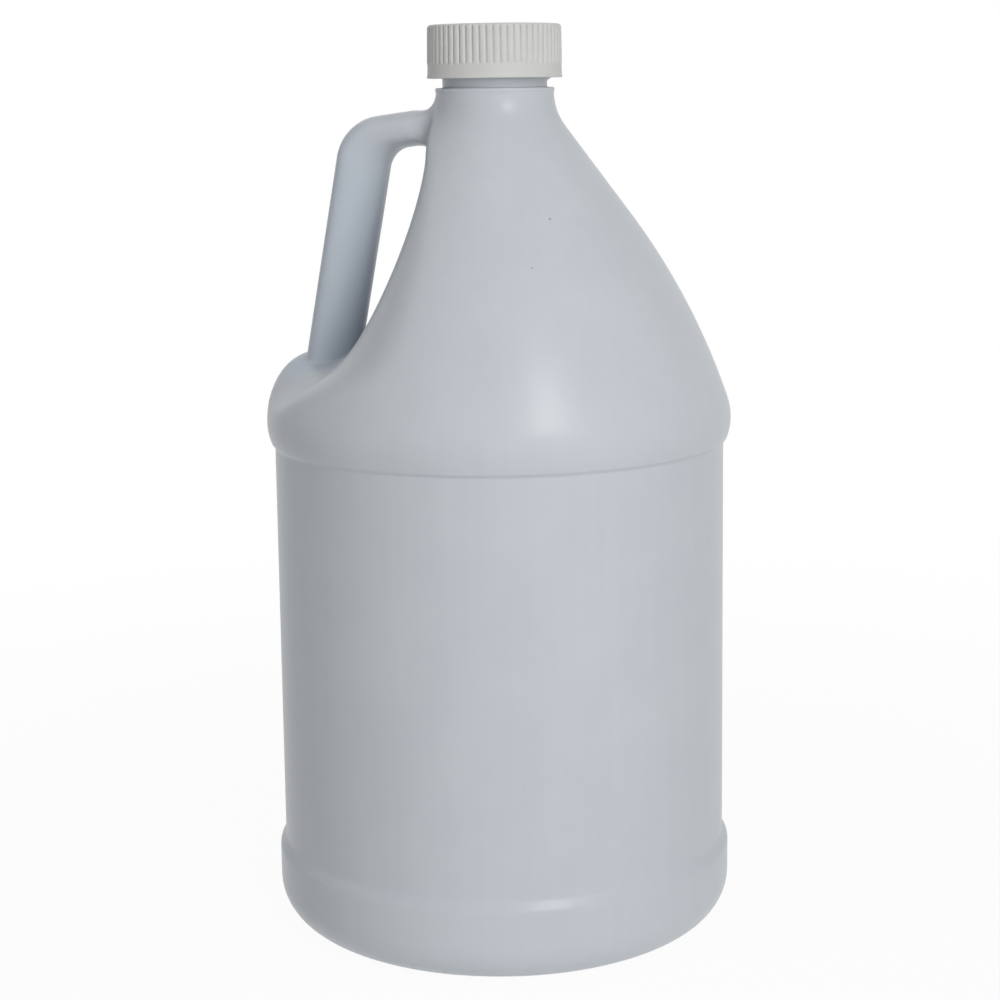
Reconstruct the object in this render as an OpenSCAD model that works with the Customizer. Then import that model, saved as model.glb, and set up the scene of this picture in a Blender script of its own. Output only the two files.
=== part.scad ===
// One-gallon blow-moulded jug with a hollow handle, and its ribbed screw cap.
// Sizes are in millimetres. The jug stands on z = 0 and its handle points to -X.

/* [Body] */
// Radius of the straight panel
panel_r = 76.8; // [66:0.2:86]
// Height of the panel's lower edge above the floor
panel_low = 30; // [26:0.5:50]
// Height of the panel's upper edge above the floor
panel_high = 166.8; // [120:0.2:200]
// How far the foot ring and the shoulder ring stand out past the panel
ring_out = 2.5; // [1.5:0.1:4]
// Rounding of the shoulder ring
ring_round = 18.8; // [14:0.2:24]
// Rounding of the foot ring's upper edge
foot_round = 9; // [6:0.5:12]
// Rounding of the edge that the jug stands on
heel_round = 15; // [10:0.5:18]
// Rise of the hollow under the base
push_up = 4; // [2:0.5:8]
// Wall thickness of the blown shell
wall = 0.9; // [0.7:0.1:1.3]

/* [Shoulder and neck] */
// Height from the panel's upper edge to the foot of the neck
shoulder_h = 118.5; // [100:0.5:140]
// Lean of the shoulder above its ring, as a share of its mean lean
low_lean_share = 0.657; // [0.5:0.01:0.75]
// Lean of the cone below the neck, as a share of the shoulder's mean lean
cone_lean_share = 1.285; // [1.2:0.005:1.35]
// Radius of the neck below its collar
neck_r = 19.75; // [18:0.25:24]
// Rounding between the cone and the neck
neck_fillet = 18.7; // [12:0.1:22]
// How far the collar stands out past the neck
collar_out = 0.2; // [0.2:0.1:1]
// Height of the collar
collar_h = 1.6; // [1:0.1:4]
// How far the threaded mouth is set in from the neck
mouth_step = 2.25; // [1.5:0.05:3]
// Wall thickness of the mouth
mouth_wall = 1.7; // [1.2:0.1:2.4]

/* [Handle] */
// Reach of the handle's outer corner beyond the neck
corner_reach = 33.8; // [31:0.1:38]
// Drop from the foot of the neck to the top of the handle's arm
arm_drop = 4.5; // [4:0.1:7]
// Thickness of the arm, seen from the side
arm_t = 12; // [10:0.5:14]
// Width of the arm where it leaves the neck
arm_w = 19; // [16:0.5:21]
// Fall of the arm away from the neck, in degrees
arm_fall = 7.4; // [4:0.2:12]
// Thickness of the grip, seen from the side
grip_t = 17.4; // [15:0.2:20]
// Width of the grip
grip_w = 24; // [20:0.5:28]
// Lean of the grip, in degrees
grip_lean = 11.4; // [8:0.1:13]
// Rounding of the handle's outer corner
outer_round = 13.7; // [10:0.1:16]
// Rounding of the handle's inner corner
inner_round = 8.5; // [5:0.5:9]
// Squareness of the handle's section, 2 for an oval
squareness = 2.4; // [2:0.1:3]
// Height of the grip's foot above the shoulder ring
foot_rise = 11; // [9:0.5:13]
// Height of the joint between the grip and the ledge
foot_h = 15; // [13:0.5:17]
// Distance from the axis to the wall behind the grip
finger_wall = 20.5; // [19:0.5:23]
// How far that wall sweeps out on its way down to the ledge
wall_sweep = 35; // [28:0.5:40]
// Evenness of that sweep, 1 for a straight wall
sweep_power = 1.6; // [1.4:0.05:2]
// Sharpness of the turn from that wall to the ledge
ledge_power = 14; // [12:1:20]
// How far the ledge rises towards the handle
ledge_lift = 4.5; // [4:0.5:7]
// Angle to each side of the handle over which it rises, in degrees
lift_half = 70; // [60:5:80]
// Bow of the wall behind the grip, as a radius
wall_bow = 120; // [100:5:200]
// Softness of the corners beside that wall
corner_soft = 1; // [0.5:0.05:1]

/* [Cap] */
// How far the cap's lower edge stands out past the neck
cap_out = 2.85; // [2.3:0.05:4]
// Height of the cap
cap_h = 17.5; // [15.5:0.1:19]
// Gap between the collar and the cap
cap_gap = 3.1; // [2:0.1:4]
// Draft of the cap's side, in degrees
cap_draft = 1; // [0.5:0.1:2]
// Rounding of the cap's top edge
cap_round = 1.2; // [0.8:0.1:1.6]
// Thickness of the cap's top
cap_top = 1.6; // [1.2:0.1:2]
// Thickness of the cap's side below the ribs
cap_wall = 2.7; // [2.2:0.1:2.8]
// Height of the plain band below the ribs
band_h = 4.6; // [3:0.1:6]
// Number of grip ribs
rib_count = 60; // [40:2:72]
// Radius of the groove between two ribs
groove_r = 0.55; // [0.4:0.05:0.6]
// Thickness of the sealing liner
liner_t = 1; // [0.6:0.1:1.4]
// Room around the liner's edge
liner_room = 0.3; // [0.2:0.05:0.5]

/* [Hidden] */
$fn = 144;
jug_white = "#c3cbd3";
cap_white = "#d6d6d2";
liner_white = "#eef0ee";

// Rings and shoulder
ring_r = panel_r + ring_out;
ring_z = panel_high + sqrt(ring_round ^ 2 - (ring_round - ring_out) ^ 2);
foot_z = panel_low - sqrt(foot_round ^ 2 - (foot_round - ring_out) ^ 2);
neck_z = panel_high + shoulder_h;
mean_lean = atan((ring_r - neck_r) / (neck_z - ring_z));
low_lean = low_lean_share * mean_lean;
cone_lean = cone_lean_share * mean_lean;
low_out = [cos(low_lean), sin(low_lean)];
cone_out = [cos(cone_lean), sin(cone_lean)];
ring_c = [ring_r - ring_round, ring_z];
fillet_c = [neck_r + neck_fillet, neck_z];
shoulder_start = ring_c + ring_round * low_out;
shoulder_round = (cone_out * (fillet_c - shoulder_start) - neck_fillet) / (1 - cos(cone_lean - low_lean));
shoulder_c = shoulder_start - shoulder_round * low_out;
cone_start = shoulder_c + shoulder_round * cone_out;
cone_end = fillet_c - neck_fillet * cone_out;

// Neck and cap
collar_r = neck_r + collar_out;
collar_top = neck_z + collar_h;
mouth_r = neck_r - mouth_step;
bore_r = mouth_r - mouth_wall;
lip_round = 0.5;
cap_r = neck_r + cap_out;
cap_z = collar_top + cap_gap;
cap_end = cap_z + cap_h;
mouth_top = cap_end - cap_top - liner_t;
cap_in_r = cap_r - cap_wall;
cap_top_r = cap_r - cap_h * tan(cap_draft);

// Mesh of the shoulder: columns around it, handle sides, and the two openings that the handle joins
columns = 72;
sides = 32;
foot_half = 5;
foot_rows = 6;
arm_half = 6;
arm_rows = 4;
foot_low = ring_z + foot_rise;
foot_high = foot_low + foot_h;
arm_low = neck_z - arm_drop - 1.46 * arm_t;
arm_high = neck_z - 0.4 * arm_drop;
low_rows = 2;
wall_rows = 10;
foot_first = low_rows;
arm_first = low_rows + foot_rows + wall_rows;
row_z = concat(
    steps(ring_z, foot_low, low_rows),
    steps(foot_low, foot_high, foot_rows),
    steps(foot_high, arm_low, wall_rows),
    steps(arm_low, arm_high, arm_rows),
    [arm_high, neck_z]);
last_row = len(row_z) - 1;

// Edges of the handle in its own plane, as reach from the axis and height
corner_out = [neck_r + corner_reach, neck_z - arm_drop - corner_reach * tan(arm_fall)];
arm_dir = [-cos(arm_fall), sin(arm_fall)];
grip_dir = [sin(grip_lean), -cos(grip_lean)];
corner_turn = 90 - arm_fall - grip_lean;
corner_drop = (arm_t - grip_t * tan(arm_fall)) / (1 - tan(arm_fall) * tan(grip_lean));
corner_in = corner_out + [corner_drop * tan(grip_lean) - grip_t, -corner_drop];
arm_reach = neck_r + 0.2 * corner_reach;
grip_end = foot_high + 0.13 * foot_h;
arm_steps = 2;
corner_steps = 6;
grip_steps = 7;
blend_steps = 5;
// How far the shoulder's facets sit inside the turned surfaces that they join
seam = 0.15;
arm_pull = 0.8;
foot_pull = 0.5;
foot_ease = 0.5;
grip_pull = 0.3;

// Values from a up to, and without, b
function steps(a, b, n) = [for (i = [0:n - 1]) a + (b - a) * i / n];

// Points of an arc around c, from angle a to angle b
function arc(c, r, a, b, n) = [for (i = [0:n]) c + r * [cos(a + (b - a) * i / n), sin(a + (b - a) * i / n)]];

function unit(v) = v / norm(v);

// Radius of the round shoulder at height z
function round_r(z) =
    z < shoulder_start.y ? ring_c.x + sqrt(ring_round ^ 2 - (z - ring_c.y) ^ 2) :
    z < cone_start.y ? shoulder_c.x + sqrt(shoulder_round ^ 2 - (z - shoulder_c.y) ^ 2) :
    z < cone_end.y ? cone_start.x - (z - cone_start.y) * tan(cone_lean) :
    z < neck_z ? fillet_c.x - sqrt(neck_fillet ^ 2 - (z - neck_z) ^ 2) : neck_r;

// Rise of the ledge towards the handle, at angle a from the handle's plane
function ledge_up(a) =
    let (off = min(abs(a), 360 - abs(a)))
    off < lift_half ? ledge_lift * cos(90 * off / lift_half) ^ 2 : 0;

// Distance from the axis to the wall behind the grip at height z, with its ledge raised by up
function pinch_w(z, up) =
    let (drop = arm_low - foot_low, s = max(0, (arm_low - z) / drop), t = max(0, (arm_low - z + up) / drop))
    finger_wall + wall_sweep * s ^ sweep_power
        + (round_r(foot_low) - finger_wall - wall_sweep) * t ^ ledge_power;

// The same wall as a radius, at angle a from the handle's plane
function pinch_r(a, w) = sqrt(wall_bow ^ 2 - ((wall_bow - w) * sin(a)) ^ 2) - (wall_bow - w) * cos(a);

// The smaller of two radii, rounded over a width k
function soft_min(p, q, k) = min(p, q) - (k > 0 ? max(0, k - abs(p - q)) ^ 2 / (4 * k) : 0);

function shoulder_r(a, z) =
    let (r = round_r(z), w = pinch_w(z, ledge_up(a)))
    w < r ? soft_min(r, pinch_r(a, w), corner_soft * (r - w)) : r;

function shoulder_pt(a, z) = let (r = shoulder_r(a, z)) [-r * cos(a), -r * sin(a), z];

// Outward normal of the shoulder, level at its first and last rows
function shoulder_out(a, z) =
    let (d = 0.05, level = z == ring_z || z == neck_z,
         along = shoulder_pt(a + d, z) - shoulder_pt(a - d, z),
         up = level ? [0, 0, 1] : shoulder_pt(a, z + d) - shoulder_pt(a, z - d))
    unit(cross(along, up));

// A point of the shoulder's outer skin, or of its inner skin for an inset
function skin_pt(i, j, inset) =
    let (a = 360 * i / columns)
    shoulder_pt(a, row_z[j]) - inset * shoulder_out(a, row_z[j]);

// Columns and rows around the opening that one end of the handle joins, from row r0 round to row r1
function loop(half, r0, r1) =
    let (way = sign(r1 - r0))
    concat(
        [for (c = [0:half]) [c, r0]],
        [for (r = [r0 + way:way:r1 - way]) [half, r]],
        [for (c = [half:-1:-half]) [c, r1]],
        [for (r = [r1 - way:-way:r0 + way]) [-half, r]],
        [for (c = [-half:-1]) [c, r0]]);
arm_loop = loop(arm_half, arm_first + arm_rows, arm_first);
foot_loop = loop(foot_half, foot_first, foot_first + foot_rows);

// Direction along the shoulder from one of those points towards the point of the handle that it joins
function inward(at, to) =
    let (a = 360 * at.x / columns, z = row_z[at.y],
         way = to - shoulder_pt(a, z), out = shoulder_out(a, z))
    unit(way - (way * out) * out);

// One edge of the handle: along the arm, round its corner and down the grip
function edge(corner, r) =
    let (t = r * tan(corner_turn / 2),
         arm_end = [arm_reach, corner.y + (corner.x - arm_reach) * tan(arm_fall)],
         grip_foot = [corner.x + (corner.y - grip_end) * tan(grip_lean), grip_end],
         arm_last = corner + t * arm_dir, grip_first = corner + t * grip_dir,
         c = arm_last - r * [sin(arm_fall), cos(arm_fall)])
    concat(
        [for (s = steps(0, 1, arm_steps)) arm_end + s * (arm_last - arm_end)],
        arc(c, r, 90 - arm_fall, grip_lean, corner_steps),
        [for (i = [1:grip_steps]) grip_first + i / grip_steps * (grip_foot - grip_first)]);
outer_edge = edge(corner_out, outer_round);
inner_edge = edge(corner_in, inner_round);
stations = len(outer_edge);

// Half width of the handle at station q
function half_w(q) = (arm_w + (grip_w - arm_w) * min(1, q / (arm_steps + corner_steps))) / 2;

function bulge(v) = sign(v) * abs(v) ^ (2 / squareness);

// A ring of points around the handle at station q
function handle_ring(q, inset) =
    let (mid = (outer_edge[q] + inner_edge[q]) / 2, half = (outer_edge[q] - inner_edge[q]) / 2,
         shrink = 1 - inset / norm(half))
    [for (k = [0:sides - 1])
        let (a = 360 * k / sides, p = mid + bulge(cos(a)) * shrink * half)
        [-p.x, -bulge(sin(a)) * (half_w(q) - inset), p.y]];

// How near a point of such a loop is to the corners of its first row, from 0 to 1
function cornered(p, at) =
    let (half = max([for (l = at) l.x]), first = at[0].y, last = at[sides / 2].y)
    (abs(p.x) / half * (last - p.y) / (last - first)) ^ 2;

// Rings that carry the skin from an opening of the shoulder to the end of the handle
function blend_rings(at, q, next, pull, ease, inset) =
    let (ring = handle_ring(q, inset), beyond = handle_ring(next, inset),
         from = [for (p = at) skin_pt(p.x, p.y, inset)],
         ways = [for (k = [0:sides - 1]) (1 - ease * cornered(at[k], at)) * inward(at[k], ring[k])])
    [for (b = [1:blend_steps - 1])
        [for (k = [0:sides - 1])
            let (t = b / blend_steps, gap = norm(ring[k] - from[k]),
                 p1 = from[k] + pull * gap * ways[k],
                 p2 = ring[k] + grip_pull * gap * unit(ring[k] - beyond[k]))
            (1 - t) ^ 3 * from[k] + 3 * t * (1 - t) ^ 2 * p1 + 3 * t ^ 2 * (1 - t) * p2 + t ^ 3 * ring[k]]];

function reverse(list) = [for (i = [len(list) - 1:-1:0]) list[i]];

// Every ring of the handle, from the neck to the ledge
function handle_rings(inset) = concat(
    blend_rings(arm_loop, 0, 1, arm_pull, 0, inset),
    [for (q = [0:stations - 1]) handle_ring(q, inset)],
    reverse(blend_rings(foot_loop, stations - 1, stations - 2, foot_pull, foot_ease, inset)));
ring_count = stations + 2 * (blend_steps - 1);

// Points of one skin, the shoulder's rows first and the handle's rings after them
function skin_points(inset) = concat(
    [for (j = [0:last_row]) for (i = [0:columns - 1]) skin_pt(i, j, inset)],
    [for (ring = handle_rings(inset)) each ring]);
grid_size = (last_row + 1) * columns;
skin_size = grid_size + ring_count * sides;

function grid_id(i, j) = j * columns + (i + columns) % columns;

// True for a cell of the shoulder that one end of the handle replaces
function open_cell(i, j, half, first, rows) =
    j >= first && j < first + rows && (i < half || i >= columns - half);

ring_ids = concat(
    [[for (p = arm_loop) grid_id(p.x, p.y)]],
    [for (q = [0:ring_count - 1]) [for (k = [0:sides - 1]) grid_size + q * sides + k]],
    [[for (p = foot_loop) grid_id(p.x, p.y)]]);

skin_quads = concat(
    [for (j = [0:last_row - 1]) for (i = [0:columns - 1])
        if (!open_cell(i, j, arm_half, arm_first, arm_rows)
            && !open_cell(i, j, foot_half, foot_first, foot_rows))
            [grid_id(i, j), grid_id(i, j + 1), grid_id(i + 1, j + 1), grid_id(i + 1, j)]],
    [for (q = [0:ring_count]) for (k = [0:sides - 1])
        let (n = (k + 1) % sides)
        [ring_ids[q][k], ring_ids[q][n], ring_ids[q + 1][n], ring_ids[q + 1][k]]]);

// Level rims that close the outer skin onto the inner one
rim_quads = [for (i = [0:columns - 1])
    let (o = grid_id(i, 0), o2 = grid_id(i + 1, 0), t = grid_id(i, last_row), t2 = grid_id(i + 1, last_row))
    each [[o, o2, o2 + skin_size, o + skin_size], [t + skin_size, t2 + skin_size, t2, t]]];

shell_quads = concat(skin_quads, [for (f = skin_quads) reverse([for (v = f) v + skin_size])], rim_quads);

module shoulder_shell() {
    polyhedron(
        concat(skin_points(seam), skin_points(wall + seam)),
        [for (f = shell_quads) each [[f[0], f[1], f[2]], [f[0], f[2], f[3]]]],
        convexity = 8);
}

// Outline of the base, foot ring, panel and lower half of the shoulder ring
function body_outline(inset) =
    let (heel_c = [ring_r - heel_round, heel_round], foot_c = [ring_r - foot_round, foot_z],
         foot_turn = acos((panel_r - inset - foot_c.x) / (foot_round - inset)),
         ring_turn = acos((panel_r - inset - ring_c.x) / (ring_round - inset)))
    concat(
        [[0, push_up + inset], [heel_c.x - 2.4 * push_up, push_up + inset], [heel_c.x - push_up, inset]],
        arc(heel_c, heel_round - inset, -90, 0, 10),
        arc(foot_c, foot_round - inset, 0, foot_turn, 5),
        arc(ring_c, ring_round - inset, -ring_turn, 0, 5));

// Outline of the collar, the mouth and its bore
neck_outline = concat(
    [[neck_r - wall - 2 * seam, neck_z], [collar_r, neck_z]],
    arc([collar_r - lip_round, collar_top - lip_round], lip_round, 0, 90, 4),
    [[mouth_r, collar_top]],
    arc([mouth_r - lip_round, mouth_top - lip_round], lip_round, 0, 90, 4),
    arc([bore_r + lip_round, mouth_top - lip_round], lip_round, 90, 180, 4),
    [[bore_r, collar_top + 0.4]]);

// The blown jug: base, panel, pinched shoulder, hollow handle and neck in one piece
module jug() {
    color(jug_white) union() {
        rotate_extrude() polygon(concat(body_outline(0), reverse(body_outline(wall))));
        shoulder_shell();
        rotate_extrude() polygon(neck_outline);
    }
}

// The ribbed screw cap
module cap() {
    color(cap_white) difference() {
        rotate_extrude() polygon(concat(
            [[0, mouth_top + liner_t], [cap_in_r, mouth_top + liner_t], [cap_in_r, cap_z], [cap_r, cap_z]],
            arc([cap_top_r - cap_round, cap_end - cap_round], cap_round, 0, 90, 5),
            [[0, cap_end]]));
        for (i = [0:rib_count - 1])
            rotate(360 * i / rib_count) translate([cap_r, 0, cap_z + band_h]) cylinder(r = groove_r, h = cap_h);
    }
}

// The sealing disc inside the cap
module cap_liner() {
    color(liner_white) translate([0, 0, mouth_top]) cylinder(r = cap_in_r - liner_room, h = liner_t);
}

jug();
cap();
cap_liner();
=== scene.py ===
# %% [markdown]
# # A blown plastic jug with a screw cap
#
# The jug is one hollow piece: a tube of soft polyethylene is caught between two halves of a mould and blown
# against them, handle and all. The cap and its sealing disc are made apart. Here each piece is drawn again as
# a fine mesh on the frame of the measured model, painted, lit and looked at through the photo's camera.

import math

import bpy
from mathutils import Matrix, Vector


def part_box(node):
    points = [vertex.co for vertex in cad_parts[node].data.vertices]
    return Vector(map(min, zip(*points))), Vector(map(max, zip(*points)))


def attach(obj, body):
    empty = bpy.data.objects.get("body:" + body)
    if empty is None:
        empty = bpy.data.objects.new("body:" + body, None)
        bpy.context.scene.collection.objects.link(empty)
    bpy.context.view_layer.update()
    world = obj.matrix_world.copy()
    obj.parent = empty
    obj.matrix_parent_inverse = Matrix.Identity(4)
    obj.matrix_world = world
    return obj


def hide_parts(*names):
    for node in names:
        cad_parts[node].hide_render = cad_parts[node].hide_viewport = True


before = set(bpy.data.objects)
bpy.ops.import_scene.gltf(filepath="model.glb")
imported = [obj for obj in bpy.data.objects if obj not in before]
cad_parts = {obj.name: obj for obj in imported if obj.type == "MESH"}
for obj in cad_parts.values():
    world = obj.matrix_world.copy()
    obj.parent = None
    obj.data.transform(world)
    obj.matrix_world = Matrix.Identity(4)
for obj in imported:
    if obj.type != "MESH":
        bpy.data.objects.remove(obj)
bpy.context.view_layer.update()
jug_low, jug_high = (Vector(corner) * 1000 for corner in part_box("jug"))
cap_low, cap_high = (Vector(corner) * 1000 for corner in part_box("cap"))
disc_low, disc_high = (Vector(corner) * 1000 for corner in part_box("cap_liner"))
print("jug box in mm", [round(v, 2) for v in jug_low], [round(v, 2) for v in jug_high])

# %% [markdown]
# ## Sizes
#
# Lengths are in millimetres until a mesh is written. The overall sizes come from the frame, so that the
# pieces follow the measured model. The others are the few dimensions that give the jug its shape. Slopes
# and rolls on the outline are in degrees.

# %% Main sizes
ring_r = min(jug_high.x, jug_high.y)
mouth_top = jug_high.z
cap_z, cap_end = cap_low.z, cap_high.z
cap_r = cap_high.x

ring_out, ring_round, heel_round, push_up, wall = 2.5, 18.8, 15.0, 4.0, 0.9
panel_low, panel_high, panel_draft = 31.0, 166.8, 0.5
foot_round, foot_slope, low_crease = 3.5, 30.0, 3.5
roll_round, roll_start, roll_end = 2.5, 20.0, 52.0
panel_r = ring_r - ring_out
shoulder_h, neck_r, neck_fillet, collar_h, collar_out = 118.5, 19.75, 18.7, 1.6, 0.2
mouth_r, mouth_wall = neck_r - 2.25, 1.7
neck_z = panel_high + shoulder_h
collar_top, bore_r = neck_z + collar_h, mouth_r - mouth_wall
ring_c = (ring_r - ring_round, panel_high + math.sqrt(ring_round**2 - (ring_round - ring_out) ** 2))
heel_c = (ring_r - heel_round, heel_round)
print("panel radius", round(panel_r, 2), "neck from", round(neck_z, 2), "to", round(mouth_top, 2))


# %% [markdown]
# ## The shoulder
#
# Above its widest ring the jug leans in along a large arc, then a straight cone, then a small fillet up to
# the neck. Each part meets the next in line, which is what makes the light run over it without a break.

# %% Radius of the round shoulder
def arc(c, r, a, b, n):
    turns = [math.radians(a + (b - a) * i / n) for i in range(n + 1)]
    return [(c[0] + r * math.cos(t), c[1] + r * math.sin(t)) for t in turns]


def steps(a, b, n):
    return [a + (b - a) * i / n for i in range(n)]


mean_lean = math.atan((ring_r - neck_r) / (neck_z - ring_c[1]))
low_share, cone_share = 0.657, 1.285
low_lean, cone_lean = low_share * mean_lean, cone_share * mean_lean
cone_out = (math.cos(cone_lean), math.sin(cone_lean))
fillet_c = (neck_r + neck_fillet, neck_z)
start = (ring_c[0] + ring_round * math.cos(low_lean), ring_c[1] + ring_round * math.sin(low_lean))
lean_gap = cone_out[0] * (fillet_c[0] - start[0]) + cone_out[1] * (fillet_c[1] - start[1]) - neck_fillet
shoulder_round = lean_gap / (1 - math.cos(cone_lean - low_lean))
shoulder_c = (start[0] - shoulder_round * math.cos(low_lean), start[1] - shoulder_round * math.sin(low_lean))
cone_start = (shoulder_c[0] + shoulder_round * cone_out[0], shoulder_c[1] + shoulder_round * cone_out[1])
cone_end_z = fillet_c[1] - neck_fillet * cone_out[1]


def round_r(z):
    if z < start[1]:
        return ring_c[0] + math.sqrt(ring_round**2 - (z - ring_c[1]) ** 2)
    if z < cone_start[1]:
        return shoulder_c[0] + math.sqrt(shoulder_round**2 - (z - shoulder_c[1]) ** 2)
    if z < cone_end_z:
        return cone_start[0] - (z - cone_start[1]) * math.tan(cone_lean)
    return fillet_c[0] - math.sqrt(neck_fillet**2 - (z - neck_z) ** 2) if z < neck_z else neck_r


print("shoulder arc radius", round(shoulder_round, 1), "cone lean", round(math.degrees(cone_lean), 1))

# %% [markdown]
# Where the handle is, a bowed wall is pinched into that round shape to make room for the fingers. Below the
# pinch a ledge rises to the handle's foot, with a small pocket on either side of it, and the dome outside
# swells a little. The wall and the dome meet in a soft edge.

# %% The pinch behind the handle
arm_drop, arm_t, arm_w, arm_fall = 4.5, 12.0, 19.0, math.radians(7.4)
grip_t, grip_w, grip_lean, corner_reach = 17.4, 22.5, math.radians(11.0), 33.3
outer_round, inner_round, squareness, taper = 15.5, 8.5, 2.4, 0.3
finger_wall, wall_sweep, sweep_power, ledge_power, wall_bow = 19.2, 35.0, 1.6, 14.0, 120.0
ledge_lift, lift_half = 6.5, math.radians(40)
pocket, pocket_at, pocket_half = 4.5, math.radians(32), math.radians(14)
foot_rise, foot_h, foot_sag, swell = 11.0, 18.0, 6.5, 2.6
ledge_soft, edge_soft, wall_out = 9.0, 0.5, 1.5
foot_low = ring_c[1] + foot_rise
foot_high = foot_low + foot_h
arm_low, arm_high = neck_z - arm_drop - 1.46 * arm_t, neck_z - 0.4 * arm_drop


def ledge_up(a):
    off = min(abs(a), 2 * math.pi - abs(a))
    lift = ledge_lift * math.cos(math.pi / 2 * min(1.0, off / lift_half)) ** 2
    return lift - pocket * math.exp(-(((off - pocket_at) / pocket_half) ** 2))


def pinch_w(z, up):
    s, t = (max(0.0, (arm_low - z + rise) / (arm_low - foot_low)) for rise in (0.0, up))
    rest = round_r(foot_low) - finger_wall - wall_sweep
    close = max(0.0, (z - arm_low) / (neck_z - arm_low))
    return finger_wall + wall_sweep * s**sweep_power + rest * t**ledge_power + wall_out * close


def shoulder_r(a, z):
    full = max(0.0, math.cos(1.5 * a)) if math.cos(a) > 0.5 else 0.0
    rise = min(1.0, (z - ring_c[1]) / (2 * foot_rise))
    r = min(ring_r, round_r(z) + swell * full * math.sin(math.pi * rise) ** 2)
    w, soft = pinch_w(z, ledge_up(a)), ledge_soft if z < foot_high else 0.0
    if w >= r + soft:
        return r
    inset, soft = wall_bow - w, max(edge_soft * (r - w), soft)
    bowed = math.sqrt(wall_bow**2 - (inset * math.sin(a)) ** 2) - inset * math.cos(a)
    return min(r, bowed) - max(0.0, soft - abs(r - bowed)) ** 2 / (4 * soft)


def at_angle(a, r, z):
    return Vector((-r * math.cos(a), -r * math.sin(a), z))


def shoulder_pt(a, z):
    return at_angle(a, shoulder_r(a, z), z)


print("wall behind the grip", finger_wall, "mm from the axis, ledge at", round(foot_low, 1))

# %% [markdown]
# ## The handle
#
# The handle is a hollow tube, blown together with the body. Its outer and inner edges are drawn in the plane
# of the handle as a line, an arc and a line, and squarish rings are set between them. The grip narrows
# towards the body and its last rings sag down over the dome. The two ends open into the body: each grows
# out of a ring of cells left out of the shoulder's grid, along a smooth curve that starts flat on the
# shoulder and ends in line with the tube.

# %% Edges of the handle
columns, sides, stretch_rounds = 144, 64, 9
dome_rows, foot_rows, wall_rows, arm_rows, foot_half, arm_half = 5, 12, 26, 8, 10, 12
arm_steps, corner_steps, grip_steps, blend_steps, sag_rings = 3, 14, 14, 10, 5
arm_pull, foot_pull, foot_ease, grip_pull = 0.5, 0.9, 0.4, 0.15
arm_reach, grip_end = neck_r + 0.28 * corner_reach, foot_high - 0.22 * foot_h
tan_fall, tan_lean = math.tan(arm_fall), math.tan(grip_lean)
corner_out = (neck_r + corner_reach, neck_z - arm_drop - corner_reach * tan_fall)
corner_drop = (arm_t - grip_t * tan_fall) / (1 - tan_fall * tan_lean)
corner_in = (corner_out[0] + corner_drop * tan_lean - grip_t, corner_out[1] - corner_drop)
corner_turn = math.pi / 2 - arm_fall - grip_lean


def edge(corner, r):
    t = r * math.tan(corner_turn / 2)
    arm_end = (arm_reach, corner[1] + (corner[0] - arm_reach) * tan_fall)
    grip_foot = (corner[0] + (corner[1] - grip_end) * tan_lean, grip_end)
    arm_last = (corner[0] - t * math.cos(arm_fall), corner[1] + t * math.sin(arm_fall))
    grip_first = (corner[0] + t * math.sin(grip_lean), corner[1] - t * math.cos(grip_lean))
    middle = (arm_last[0] - r * math.sin(arm_fall), arm_last[1] - r * math.cos(arm_fall))
    along = [tuple(p + s * (q - p) for p, q in zip(arm_end, arm_last)) for s in steps(0, 1, arm_steps)]
    shares = [i / grip_steps for i in range(1, grip_steps + 1)]
    down = [tuple(p + s * (q - p) for p, q in zip(grip_first, grip_foot)) for s in shares]
    return along + arc(middle, r, 90 - math.degrees(arm_fall), math.degrees(grip_lean), corner_steps) + down


outer_edge, inner_edge = edge(corner_out, outer_round), edge(corner_in, inner_round)
stations = len(outer_edge)
print("edges of the handle:", stations, "points, corner at", [round(v, 1) for v in corner_out])


# %% [markdown]
# Each ring is a rounded square between a point on the outer edge and one on the inner edge. A power of the
# sine and the cosine makes a circle squarish, and the width changes along the way.

# %% Rings of the handle
def bulge(v):
    return math.copysign(abs(v) ** (2 / squareness), v)


def handle_ring(q):
    (xo, zo), (xi, zi) = outer_edge[q], inner_edge[q]
    turned = min(1, q / (arm_steps + corner_steps))
    half_w = (arm_w + (grip_w - arm_w) * turned) / 2
    ring = []
    for k in range(sides):
        a = 2 * math.pi * k / sides
        c, s = bulge(math.cos(a)), bulge(math.sin(a))
        y = -s * half_w * (1 + taper * turned * c)
        sag = foot_sag * (s * s + 0.3 * (1 - s * s) * (1 + c)) * max(0.0, 1 - (stations - 1 - q) / sag_rings)
        x, z = (xo + xi + c * (xo - xi)) / 2, (zo + zi + c * (zo - zi)) / 2
        ring.append(Vector((-x - sag * tan_lean, y, z - sag)))
    return ring


# %% [markdown]
# An opening in the shoulder is a loop of grid points, as many as a ring has. A curve with four control points
# leads from each of them to its partner on the ring: it leaves flat along the shoulder and arrives in line
# with the tube.

# %% Curves from the shoulder to the handle
def loop(half, r0, r1):
    way = 1 if r1 > r0 else -1
    low, high = [(c, r0) for c in range(half + 1)], [(c, r0) for c in range(-half, 0)]
    up, down = range(r0 + way, r1, way), range(r1 - way, r0, -way)
    across = [(c, r1) for c in range(half, -half - 1, -1)]
    return low + [(half, r) for r in up] + across + [(-half, r) for r in down] + high


def shoulder_out(a, z):
    d = 0.05
    along = shoulder_pt(a + math.radians(d), z) - shoulder_pt(a - math.radians(d), z)
    return along.cross(shoulder_pt(a, z + d) - shoulder_pt(a, z - d)).normalized()


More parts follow.
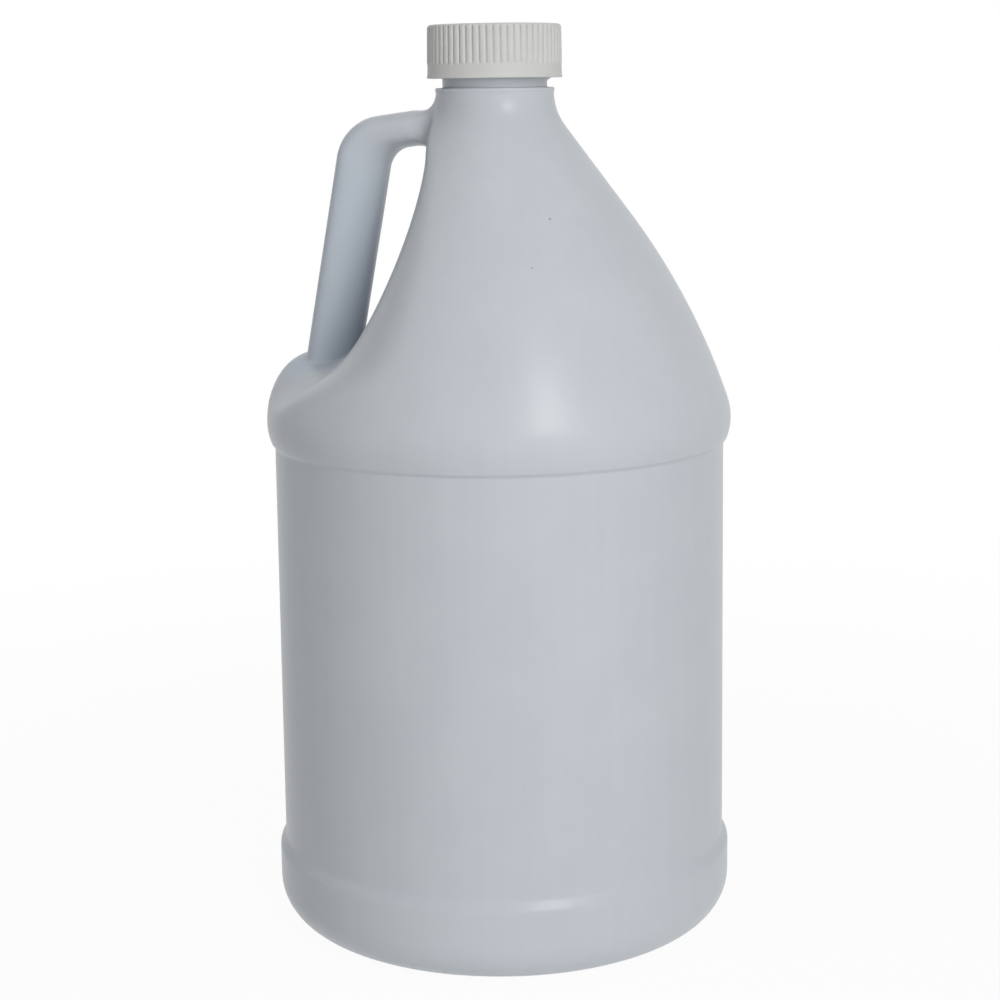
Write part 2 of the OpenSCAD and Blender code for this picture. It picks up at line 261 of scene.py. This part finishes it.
def blend_rings(at, q, beyond, row_z, pull, ease):
    ring, after = handle_ring(q), handle_ring(beyond)
    rings = [[] for _ in range(blend_steps - 1)]
    half, first, last_row = max(c for c, r in at), at[0][1], at[sides // 2][1]
    for k, (c, r) in enumerate(at):
        a, z = 2 * math.pi * c / columns, row_z[r]
        from_pt, out = shoulder_pt(a, z), shoulder_out(a, z)
        way = ring[k] - from_pt
        corner = (abs(c) / half * (last_row - r) / (last_row - first)) ** 2
        reach = pull * (1 - ease * corner) * way.length
        p1 = from_pt + reach * (way - way.dot(out) * out).normalized()
        p2 = ring[k] + grip_pull * way.length * (ring[k] - after[k]).normalized()
        for b in range(1, blend_steps):
            t = b / blend_steps
            rings[b - 1].append((1 - t) ** 3 * from_pt + 3 * t * (1 - t) ** 2 * p1
                                + 3 * t * t * (1 - t) * p2 + t**3 * ring[k])
    return rings


print("each opening is a loop of", len(loop(arm_half, 0, arm_rows)), "points, and a ring has", sides)

# %% [markdown]
# ## The outline around the axis
#
# Everything but the shoulder is turned around the axis, as the mould's cavity was on a lathe. The panel is
# set in a little between a foot ring and the shoulder's ring, where a label would go. A short ramp leads up
# to it from the foot ring, and the shoulder's ring rolls in over it to a dark crease. Both edges end in a
# fillet, because blown plastic never fills a sharp corner.

# %% Outline below the shoulder
def stepped(p, length, angle):
    return (p[0] + length * math.cos(math.radians(angle)), p[1] + length * math.sin(math.radians(angle)))


def drop(angle):
    return 1 - math.cos(math.radians(angle))


ramp_in = ring_out - panel_draft - (foot_round + low_crease) * drop(foot_slope)
ramp = ramp_in / math.sin(math.radians(foot_slope))
low_c = (panel_r + panel_draft + low_crease, panel_low)
foot_c = stepped(stepped(low_c, low_crease + foot_round, foot_slope + 180), ramp, foot_slope - 90)
roll_c = stepped(ring_c, ring_round - roll_round, -roll_start)
roll_foot = stepped(roll_c, roll_round, -roll_end)
high_crease = (roll_foot[0] - panel_r) / drop(roll_end)
high_c = stepped(roll_foot, high_crease, -roll_end)
print("ramp over the foot ring", round(ramp, 2), "fillet under the shoulder's ring", round(high_crease, 2))
slope_in, slope_out = heel_c[0] - 2.4 * push_up, heel_c[0] - push_up
base_rows = [(slope_in * i / 9, push_up) for i in range(1, 9)]
for i in range(9):
    s = i / 8
    base_rows.append((slope_in + (slope_out - slope_in) * s, push_up * (1 - s * s * (3 - 2 * s))))
lower = base_rows + arc(heel_c, heel_round, -90, 0, 18) + arc(foot_c, foot_round, 0, foot_slope, 8)
lower += arc(low_c, low_crease, foot_slope + 180, 180, 8)
panel_h = high_c[1] - panel_low
lower += [(panel_r + panel_draft * s, panel_low + panel_h * (1 - s)) for s in steps(1, 0, 24)][1:]
lower += arc(high_c, high_crease, 180, 180 - roll_end, 8)
lower += arc(roll_c, roll_round, -roll_end, -roll_start, 6)[1:]
lower += arc(ring_c, ring_round, -roll_start, 0, 8)[1:-1]

# %% [markdown]
# The rows of the shoulder are set so that the handle's two openings begin and end on a row. Above the neck
# come the collar, the mouth with rows close enough for the thread, its lip and its bore.

# %% Rows of the shoulder and outline of the mouth
shoulder_z = steps(ring_c[1], foot_low, dome_rows) + steps(foot_low, foot_high, foot_rows)
shoulder_z += steps(foot_high, arm_low, wall_rows) + steps(arm_low, arm_high, arm_rows)
shoulder_z += [arm_high, neck_z - 0.8]
lip, mouth_fillet, collar_r = 0.5, 0.4, neck_r + collar_out
thread_low, thread_high = collar_top + 1.0, mouth_top - 0.9
upper = [(neck_r, neck_z), (neck_r + 0.05, neck_z + 0.12), (collar_r, neck_z + 0.3)]
upper += arc((collar_r - lip, collar_top - lip), lip, 0, 90, 6)
upper += [(mouth_r + 1.0, collar_top)]
upper += arc((mouth_r + mouth_fillet, collar_top + mouth_fillet), mouth_fillet, 270, 180, 4)
upper += [(mouth_r, z) for z in steps(thread_low, thread_high, 48)] + [(mouth_r, thread_high)]
upper += arc((mouth_r - lip, mouth_top - lip), lip, 0, 90, 6)
upper += arc((bore_r + lip, mouth_top - lip), lip, 90, 180, 6)
upper += [(bore_r, z) for z in steps(mouth_top - 1.5, collar_top, 6)] + [(bore_r + 0.3, collar_top - 0.4)]
print("outline rows:", len(lower), "below,", len(shoulder_z), "on and", len(upper), "above the shoulder")

# %% [markdown]
# ## The thread
#
# The mouth carries a raised right-hand thread and the cap has the matching one inside, half a pitch away.
# A thread is only a bump that climbs one pitch per turn, so it can be added to the radius of a turned
# surface. It dies away at both ends, as it does where a mould's cutter left the steel.

# %% Height of the thread
pitch, turns = 4.233, 2.1
root_half, crest_half, fade_turns = 1.1, 0.45, 0.09


def thread_share(angle, z, first_z):
    climb = (z - first_z) / pitch - angle / (2 * math.pi)
    off = (climb - round(climb)) * pitch
    turn = round(climb) + angle / (2 * math.pi)
    if turn < 0 or turn > turns:
        return 0.0
    flank = (root_half - abs(off)) / (root_half - crest_half)
    fade = min(1.0, turn / fade_turns, (turns - turn) / fade_turns)
    return max(0.0, min(1.0, flank)) * max(0.0, fade)


neck_thread, neck_thread_z = 1.8, thread_low + 2.0
print("thread climbs", pitch, "mm a turn and stands", neck_thread, "mm off the mouth")


# %% [markdown]
# ## The jug's mesh
#
# Three helpers serve all the pieces: one writes points and faces as a smooth mesh in metres, one joins two
# rows of points with a band of faces, and one finds which way the surface faces at each point.

# %% Mesh helpers
def write_mesh(name, points, faces):
    used = sorted({v for face in faces for v in face})
    place = {v: i for i, v in enumerate(used)}
    mesh = bpy.data.meshes.new(name)
    corners = [[place[v] for v in face] for face in faces]
    mesh.from_pydata([tuple(points[v] / 1000) for v in used], [], corners)
    mesh.validate()
    mesh.polygons.foreach_set("use_smooth", [True] * len(mesh.polygons))
    piece = bpy.data.objects.new(name, mesh)
    bpy.context.scene.collection.objects.link(piece)
    print(name, len(used), "points", len(faces), "faces")
    return piece


def join_rows(one, two):
    count = len(one)
    return [(one[i], one[(i + 1) % count], two[(i + 1) % count], two[i]) for i in range(count)]


def point_normals(points, faces):
    normals = [Vector() for _ in points]
    for face in faces:
        p = [points[v] for v in face]
        across = (p[2] - p[0]).cross(p[3] - p[1]) if len(p) == 4 else (p[1] - p[0]).cross(p[2] - p[0])
        for v in face:
            normals[v] += across
    return [n.normalized() for n in normals]


# %% [markdown]
# The points of the outer skin run row by row from the middle of the base up to the neck. The rings of the
# handle follow, and they begin and end on the loops of grid points around the two openings.

# %% Points of the outer skin
angles = [2 * math.pi * i / columns for i in range(columns)]
skin = [Vector((0, 0, push_up))]
for r, z in lower:
    skin += [at_angle(a, r, z) for a in angles]
for z in shoulder_z:
    skin += [shoulder_pt(a, z) for a in angles]
neck_row = len(lower) + len(shoulder_z)
row_z = [z for r, z in lower] + shoulder_z
skin += [at_angle(a, *upper[0]) for a in angles]


def grid_id(i, j):
    return 1 + j * columns + i % columns


foot_first = len(lower) + dome_rows
arm_first = foot_first + foot_rows + wall_rows
arm_loop = loop(arm_half, arm_first + arm_rows, arm_first)
foot_loop = loop(foot_half, foot_first, foot_first + foot_rows)
rings = blend_rings(arm_loop, 0, 1, row_z, arm_pull, 0)
rings += [handle_ring(q) for q in range(stations)]
rings += blend_rings(foot_loop, stations - 1, stations - 2, row_z, foot_pull, foot_ease)[::-1]
ring_ids = [[grid_id(*p) for p in arm_loop]]
for ring in rings:
    ring_ids.append(list(range(len(skin), len(skin) + sides)))
    skin += ring
ring_ids.append([grid_id(*p) for p in foot_loop])
print("outer skin:", len(skin), "points,", len(ring_ids), "rings on the handle")


# %% [markdown]
# The faces join each row to the next, but not inside the openings. There the bands of the handle take over.

# %% Faces of the outer skin
def in_opening(i, j):
    beside = min(i, columns - 1 - i)
    at_foot = foot_first <= j < foot_first + foot_rows and beside < foot_half
    return at_foot or (arm_first <= j < arm_first + arm_rows and beside < arm_half)


faces = [(0, grid_id(i + 1, 0), grid_id(i, 0)) for i in range(columns)]
for j in range(neck_row):
    for i in range(columns):
        if not in_opening(i, j):
            faces.append((grid_id(i, j), grid_id(i + 1, j), grid_id(i + 1, j + 1), grid_id(i, j + 1)))
for one, two in zip(ring_ids, ring_ids[1:]):
    for k in range(sides):
        n = (k + 1) % sides
        faces.append((one[k], two[k], two[n], one[n]))
print("outer skin:", len(faces), "faces")

# %% [markdown]
# Hot plastic stretches over the handle's two joints and leaves no edge there. So the points around each joint
# are drawn towards the middle of their neighbours a few times, most of all on the loop itself.

# %% Stretch the joints
stretch = {}
margin, stretch_share = 6, 0.6


def stretch_joint(joint_rings, first, rows, half, aside):
    for b, ring in enumerate(joint_rings[:blend_steps]):
        stretch.update({v: 1 - (b / blend_steps) ** 2 for v in ring})
    for j in range(first - margin + 1, min(first + rows + margin, neck_row)):
        for i in range(-half - aside, half + aside + 1):
            past = max(first - j, j - first - rows) / margin
            beyond = max(past, (abs(i) - half) / (aside + 1))
            if beyond > 0:
                stretch[grid_id(i, j)] = 1 - beyond


stretch_joint(ring_ids, arm_first, arm_rows, arm_half, 5)
stretch_joint(ring_ids[::-1], foot_first, foot_rows, foot_half, 14)
beside = {v: set() for v in stretch}
for face in faces:
    for one, two in zip(face, face[1:] + face[:1]):
        if one in beside:
            beside[one].add(two)
        if two in beside:
            beside[two].add(one)
for _ in range(stretch_rounds):
    moved = {v: sum((skin[n] for n in near), Vector()) / len(near) for v, near in beside.items()}
    for v, share in stretch.items():
        skin[v] = skin[v].lerp(moved[v], stretch_share * share)
print("stretched", len(stretch), "points", stretch_rounds, "times")

# %% [markdown]
# The inner skin is the same points moved in along their normals by the thickness of the wall. The rows of the
# collar, the threaded mouth and its bore join the two skins, so the jug is a closed solid with a real hollow
# inside.

# %% Inner skin and mouth
inner = len(skin)
skin += [p - wall * n for p, n in zip(skin, point_normals(skin, faces))]
faces += [tuple(v + inner for v in reversed(face)) for face in faces]
last = [grid_id(i, neck_row) for i in range(columns)]
for r, z in upper[1:]:
    row = range(len(skin), len(skin) + columns)
    on_mouth = thread_low <= z <= thread_high and r == mouth_r
    for a in angles:
        share = thread_share((a + math.pi) % (2 * math.pi), z, neck_thread_z) if on_mouth else 0
        skin.append(at_angle(a, r + neck_thread * share, z))
    faces += join_rows(last, row)
    last = row
faces += join_rows(last, [inner + grid_id(i, neck_row) for i in range(columns)])
jug = write_mesh("jug_shell", skin, faces)
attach(jug, "jug_body")
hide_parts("jug")

# %% [markdown]
# ## The cap
#
# The cap is injection moulded: a ribbed skirt for the fingers, a plain band with a small lip below the ribs,
# and a thread inside. One outline is turned around the axis, and the ribs and the thread are added to its
# radius. Each rib is a rounded crown between two narrow grooves.

# %% Build the cap
rib_count, rib_points, rib_depth, rib_power = 60, 10, 0.6, 3.4
band_h, band_set_in, band_step, cap_round = 4.6, 0.14, 0.5, 1.2
cap_lip, lip_step, lip_set_in, skirt_round, cap_fillet = 1.0, 0.25, 0.03, 0.35, 0.4
cap_wall, draft = 2.7, math.radians(1)
cap_in_r, ceiling = cap_r - cap_wall, disc_high.z
cap_top_r = cap_r - (cap_end - cap_z) * math.tan(draft)
band_top, rib_top = cap_z + band_h, cap_end - cap_round
cap_thread, cap_thread_z = 1.6, neck_thread_z + pitch / 2


def side_r(z):
    return cap_r - (z - cap_z) * math.tan(draft)


outline = [(cap_top_r * s, cap_end, 0) for s in (0.25, 0.5, 0.75, 0.9)]
for i, (r, z) in enumerate(arc((cap_top_r - cap_round, rib_top), cap_round, 90, 0, 8)):
    outline.append((r, z, (i / 8) ** 1.5))
outline += [(side_r(z), z, 1) for z in steps(rib_top, band_top + band_step, 10)][1:]
for h in (1, 0.8, 0.5, 0.2, 0):
    outline.append((side_r(band_top + h) - band_set_in * (1 - h), band_top + band_step * h, h))
lip_z, band_z = cap_z + cap_lip, cap_z + cap_lip + lip_step
outline += [(side_r(z) - band_set_in, z, 0) for z in steps(band_top, band_z, 4)][1:]
outline += [(side_r(band_z) - band_set_in, band_z, 0), (side_r(lip_z) - lip_set_in, lip_z, 0)]
rims = arc((cap_r - skirt_round, cap_z + skirt_round), skirt_round, 0, -90, 5)
rims += arc((cap_in_r + cap_fillet, cap_z + cap_fillet), cap_fillet, 270, 180, 5)
outline += [(r, z, 0) for r, z in rims]
outline += [(cap_in_r, z, 0) for z in steps(cap_z + 0.6, ceiling - 0.5, 44)][1:]
corner = arc((cap_in_r - cap_fillet, ceiling - cap_fillet), cap_fillet, 0, 90, 4)
outline += [(r, z, 0) for r, z in corner]
outline += [(cap_in_r * s, ceiling, 0) for s in (0.9, 0.6, 0.3)]
around = rib_count * rib_points
points, faces, last = [Vector((0, 0, cap_end))], [], None
for r, z, rib in outline:
    row = [len(points) + i for i in range(around)]
    for i in range(around):
        a = 2 * math.pi * i / around
        across = 2 * (i % rib_points) / rib_points - 1
        deep = rib * rib_depth * abs(across) ** rib_power
        inside = cap_thread * thread_share(a, z, cap_thread_z) if r == cap_in_r else 0
        points.append(Vector(((r - deep - inside) * math.cos(a), (r - deep - inside) * math.sin(a), z)))
    faces += join_rows(row, last) if last else [(0, row[i], row[(i + 1) % around]) for i in range(around)]
    last = row
points.append(Vector((0, 0, ceiling)))
faces += [(len(points) - 1, last[(i + 1) % around], last[i]) for i in range(around)]
cap = write_mesh("screw_cap_ribbed", points, faces)
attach(cap, "screw_cap")
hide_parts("cap")

# %% [markdown]
# ## The sealing disc
#
# A disc of foam sits loose in the cap's ceiling. The lip of the mouth has pressed a shallow ring into it,
# which is drawn into its outline. It is only seen with the cap off.

# %% Build the sealing disc
disc_r, disc_round, pressed, pressed_half, pressed_rows = disc_high.x, 0.25, 0.12, 0.7, 12
pressed_at = (mouth_r + bore_r) / 2
outline = [(disc_r * s, disc_high.z) for s in (0.3, 0.6, 0.9)]
outline += arc((disc_r - disc_round, disc_high.z - disc_round), disc_round, 90, 0, 4)
outline += arc((disc_r - disc_round, disc_low.z + disc_round), disc_round, 0, -90, 4)
for i in range(pressed_rows + 1):
    r = pressed_at + 1.5 - 3.0 * i / pressed_rows
    outline.append((r, disc_low.z + pressed * math.exp(-(((r - pressed_at) / pressed_half) ** 2))))
outline += [(pressed_at * s, disc_low.z) for s in (0.8, 0.4)]
points, faces, last = [Vector((0, 0, disc_high.z))], [], None
for r, z in outline:
    row = [len(points) + i for i in range(columns)]
    points += [at_angle(a, r, z) for a in angles]
    faces += join_rows(row, last) if last else [(0, row[i], row[(i + 1) % columns]) for i in range(columns)]
    last = row
points.append(Vector((0, 0, disc_low.z)))
faces += [(len(points) - 1, last[(i + 1) % columns], last[i]) for i in range(columns)]
disc = write_mesh("sealing_disc", points, faces)
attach(disc, "lift")
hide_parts("cap_liner")


# %% [markdown]
# ## Shader sums in plain Python
#
# A finish is built from sums over noise and position. Wrapping a node's output in a small class lets those
# sums be written as Python expressions, and one method adds any other node by its type.

# %% A socket that can be added and multiplied
class Sum:
    def __init__(self, tree, socket):
        self.tree, self.socket = tree, socket

    def node(self, kind, settings=None, links=None, out=0):
        made = self.tree.nodes.new(kind)
        for key, value in (settings or {}).items():
            setattr(made, key, value)
        for key, value in (links or {}).items():
            if isinstance(value, Sum):
                self.tree.links.new(value.socket, made.inputs[key])
            else:
                made.inputs[key].default_value = value
        return Sum(self.tree, made.outputs[out])

    def math(self, operation, one, two=0.0):
        return self.node("ShaderNodeMath", {"operation": operation}, {0: one, 1: two})

    def __add__(self, other):
        return self.math("ADD", self, other)

    def __radd__(self, other):
        return self.math("ADD", other, self)

    def __rsub__(self, other):
        return self.math("SUBTRACT", other, self)

    def __mul__(self, other):
        return self.math("MULTIPLY", self, other)

    def __rmul__(self, other):
        return self.math("MULTIPLY", other, self)

    def __truediv__(self, other):
        return self.math("DIVIDE", self, other)

    def __pow__(self, other):
        return self.math("POWER", self, other)

    def __abs__(self):
        return self.math("ABSOLUTE", self)

    def step(self, low, high):
        limits = {"Value": self, "From Min": low, "From Max": high}
        return self.node("ShaderNodeMapRange", {"interpolation_type": "SMOOTHSTEP"}, limits)

    def mix(self, one, two):
        return self.node("ShaderNodeMix", {"data_type": "RGBA"}, {0: self, 6: one, 7: two}, 2)

    def vector(self, operation, other):
        return self.node("ShaderNodeVectorMath", {"operation": operation}, {0: self, 1: other})

    def noise(self, scale, detail):
        return self.node("ShaderNodeTexNoise", None, {"Vector": self, "Scale": scale, "Detail": detail})

    def axis(self, name):
        return self.node("ShaderNodeSeparateXYZ", None, {"Vector": self}, name)

    def near(self, spot, size):
        away = self.vector("SUBTRACT", spot).vector("DIVIDE", size)
        length = self.node("ShaderNodeVectorMath", {"operation": "LENGTH"}, {0: away}, "Value")
        return 1.0 - length.step(0.6, 1.0)


def finish(name, specular):
    material = bpy.data.materials.new(name)
    material.use_nodes = True
    shader = material.node_tree.nodes["Principled BSDF"]
    shader.inputs["Specular IOR Level"].default_value = specular
    place = Sum(material.node_tree, material.node_tree.nodes.new("ShaderNodeTexCoord").outputs["Object"])
    return material, shader, place


def feed(shader, socket, value):
    value.tree.links.new(value.socket, shader.inputs[socket])


def bump(shader, height, strength, distance):
    facts = {"Height": height, "Strength": strength, "Distance": distance}
    feed(shader, "Normal", height.node("ShaderNodeBump", None, facts))


print("shader sums are ready")

# %% [markdown]
# ## Finish of the jug
#
# Blown polyethylene is a cool white with a soft satin sheen. It is never quite even: the wall ripples a
# little, faint streaks run down it from the die, and a thin line shows where the mould's two halves met.
# The grip gets a painted cool tint for the light that comes through its thin wall, and three specks of dirt
# have caught on the front.

# %% Paint the jug
jug_white, jug_dim, grip_light_tint = (0.58, 0.615, 0.65, 1), (0.555, 0.59, 0.628, 1), (0.525, 0.578, 0.645, 1)
line_white, dirt = (0.66, 0.7, 0.73, 1), (0.24, 0.23, 0.2, 1)
line_half = 0.0006
material, shader, place = finish("blown_polyethylene", 0.42)
streaks = place.vector("MULTIPLY", (1.0, 1.0, 0.06)).noise(260.0, 3.0)
clouds = place.noise(38.0, 3.0)
grain = place.noise(1500.0, 2.0)
parting = 1.0 - (abs(place.axis("Y")) / line_half).step(0.25, 1.0)
grip = place.near((-0.064, 0, 0.23), (0.035, 0.04, 0.075))
panel_speck = place.near((0.0307, -0.0703, 0.0681), (0.0005, 0.0005, 0.0011))
cone_speck = place.near((0.0296, -0.0336, 0.2456), (0.0006, 0.0006, 0.0006))
small_speck = place.near((0.0279, -0.0472, 0.2311), (0.0004, 0.0004, 0.0004))
paint = (0.3 * streaks + 0.7 * clouds).step(0.3, 0.7).mix(jug_dim, jug_white)
# painted cool tint on the grip, standing in for light that comes through its thin wall
paint = (0.9 * grip).mix(paint, grip_light_tint)
paint = (0.35 * parting).mix(paint, line_white)
paint = (0.55 * (panel_speck + cone_speck + small_speck)).mix(paint, dirt)
feed(shader, "Base Color", paint)
feed(shader, "Roughness", 0.28 + 0.06 * clouds + 0.04 * grain)
bump(shader, 0.25 * clouds + 0.05 * streaks + 0.02 * grain + 0.35 * parting, 0.35, 0.0006)
jug.data.materials.append(material)
print("jug painted with", len(material.node_tree.nodes), "nodes")

# %% [markdown]
# ## Finish of the cap and the disc
#
# The cap is polypropylene, a warmer white than the jug, and painted a little darker in its grooves.
# The disc is a fine white foam with open cells, so it has no gloss at all.

# %% Paint the cap and the disc
cap_white, cap_dim, groove_dark = (0.67, 0.67, 0.655, 1), (0.64, 0.64, 0.622, 1), (0.45, 0.45, 0.43, 1)
foam_white, foam_dim = (0.86, 0.87, 0.86, 1), (0.76, 0.77, 0.76, 1)
material, shader, place = finish("moulded_polypropylene", 0.4)
reach = (place.axis("X") ** 2.0 + place.axis("Y") ** 2.0) ** 0.5
clouds, grain = place.noise(90.0, 3.0), place.noise(2200.0, 2.0)
groove = 1.0 - reach.step((cap_top_r - rib_depth) / 1000, (cap_top_r - 0.1) / 1000)
groove = groove * reach.step((cap_top_r - 1.2) / 1000, (cap_top_r - 0.9) / 1000)
groove = groove * (1.0 - place.axis("Z").step((cap_end - 0.9) / 1000, (cap_end - 0.3) / 1000))
paint = clouds.step(0.3, 0.7).mix(cap_dim, cap_white)
# the grooves between the ribs are painted darker
feed(shader, "Base Color", groove.mix(paint, groove_dark))
feed(shader, "Roughness", 0.42 + 0.08 * grain)
bump(shader, 0.4 * clouds + 0.1 * grain, 0.2, 0.0002)
cap.data.materials.append(material)

material, shader, place = finish("sealing_foam", 0.2)
cells = place.node("ShaderNodeTexVoronoi", None, {"Vector": place, "Scale": 2600.0})
feed(shader, "Base Color", cells.step(0.1, 0.6).mix(foam_white, foam_dim))
feed(shader, "Roughness", 0.8 + 0.1 * cells)
bump(shader, cells, 0.4, 0.0001)
disc.data.materials.append(material)
print("cap and disc painted")

# %% [markdown]
# ## Studio
#
# The jug stands on a pale floor in a white room. The white behind it is only what the camera and the
# reflections see, so it adds no light: for all other rays the floor is plain pale paint and the room glows
# weakly. Near the jug the floor keeps a little of its own shade, which is the shadow in the photo.

# %% Floor and room
def show_white(tree, surface, share, output):
    path = tree.nodes.new("ShaderNodeLightPath").outputs
    kinds = ("Camera", "Glossy", "Transmission")
    camera, glossy, through = (Sum(tree, path[f"Is {kind} Ray"]) for kind in kinds)
    seen = camera + glossy + through
    white = seen.node("ShaderNodeEmission")
    shown = seen.node("ShaderNodeMixShader", None, {0: seen * share, 1: Sum(tree, surface), 2: white})
    tree.links.new(shown.socket, tree.nodes[output].inputs["Surface"])


bpy.ops.mesh.primitive_plane_add(size=60)
floor = bpy.context.object
floor.name = "floor"
material = bpy.data.materials.new("pale_floor")
material.use_nodes = True
tree = material.node_tree
shader = tree.nodes["Principled BSDF"]
shader.inputs["Base Color"].default_value = (0.86, 0.86, 0.86, 1)
shader.inputs["Roughness"].default_value = 0.8
spot = Sum(tree, tree.nodes.new("ShaderNodeTexCoord").outputs["Object"])
away = spot.node("ShaderNodeVectorMath", {"operation": "LENGTH"}, {0: spot}, "Value")
show_white(tree, shader.outputs[0], 0.95 + 0.05 * away.step(0.15, 0.7), "Material Output")
floor.data.materials.append(material)

world = bpy.data.worlds.new("white_room")
bpy.context.scene.world = world
world.use_nodes = True
tree = world.node_tree
room = tree.nodes["Background"]
room.inputs["Color"].default_value = (0.97, 0.985, 1, 1)
room.inputs["Strength"].default_value = 0.23
show_white(tree, room.outputs[0], 1.0, "World Output")
print("floor and room set")

# %% [markdown]
# ## Lamps
#
# The key lamp stands to the right and is the one that shows in the gloss. A broad lamp in front and one above
# are soft and leave no highlight. Each is placed by its direction from the middle of the jug.

# %% Three lamps
aim = Vector((0, 0, 0.16))


def lamp(name, azimuth, elevation, distance, size, power, mirrored):
    light = bpy.data.lights.new(name, "AREA")
    light.shape, light.size, light.energy = "DISK", size, power
    lit = bpy.data.objects.new(name, light)
    a, e = math.radians(azimuth), math.radians(elevation)
    way = Vector((math.sin(a) * math.cos(e), -math.cos(a) * math.cos(e), math.sin(e)))
    lit.location = way * distance + aim
    lit.rotation_euler = way.to_track_quat("Z", "Y").to_euler()
    lit.visible_glossy = mirrored
    bpy.context.scene.collection.objects.link(lit)


lamp("key", 44, 30, 1.6, 0.4, 4.7, True)
lamp("front", 37, 8, 1.8, 0.9, 11.5, False)
lamp("top", 0, 85, 1.8, 0.9, 5.0, False)
print("lamps set")

# %% [markdown]
# ## Camera
#
# The photo was taken from a little above the shoulder, with the handle turned away to the left. The camera
# stands at the same distance and height, so that the ellipses of the base and of the rings open as they do
# in the photo, and it is rolled by under a degree because the photo is.

# %% Camera at the photo's view
around, pitch_down, roll = (math.radians(turn) for turn in (19, 10.94, -0.726))
back, height = 0.735, 0.2886
right = Vector((math.cos(around), math.sin(around), 0))
level = Vector((-math.sin(around), math.cos(around), 0))
ahead = math.cos(pitch_down) * level - Vector((0, 0, math.sin(pitch_down)))
up = right.cross(ahead)
view_x = math.cos(roll) * right + math.sin(roll) * up
view_y = math.cos(roll) * up - math.sin(roll) * right
lens = bpy.data.cameras.new("photo_view")
lens.sensor_width, lens.lens = 36, 77.8
eye = bpy.data.objects.new("photo_view", lens)
turned = Matrix((view_x, view_y, -ahead)).transposed().to_4x4()
eye.matrix_world = Matrix.Translation(Vector((0, 0, height)) - back * level) @ turned
bpy.context.scene.collection.objects.link(eye)
bpy.context.scene.camera = eye
bpy.context.scene.view_settings.view_transform = "Standard"
print("camera at", [round(v, 3) for v in eye.matrix_world.translation])
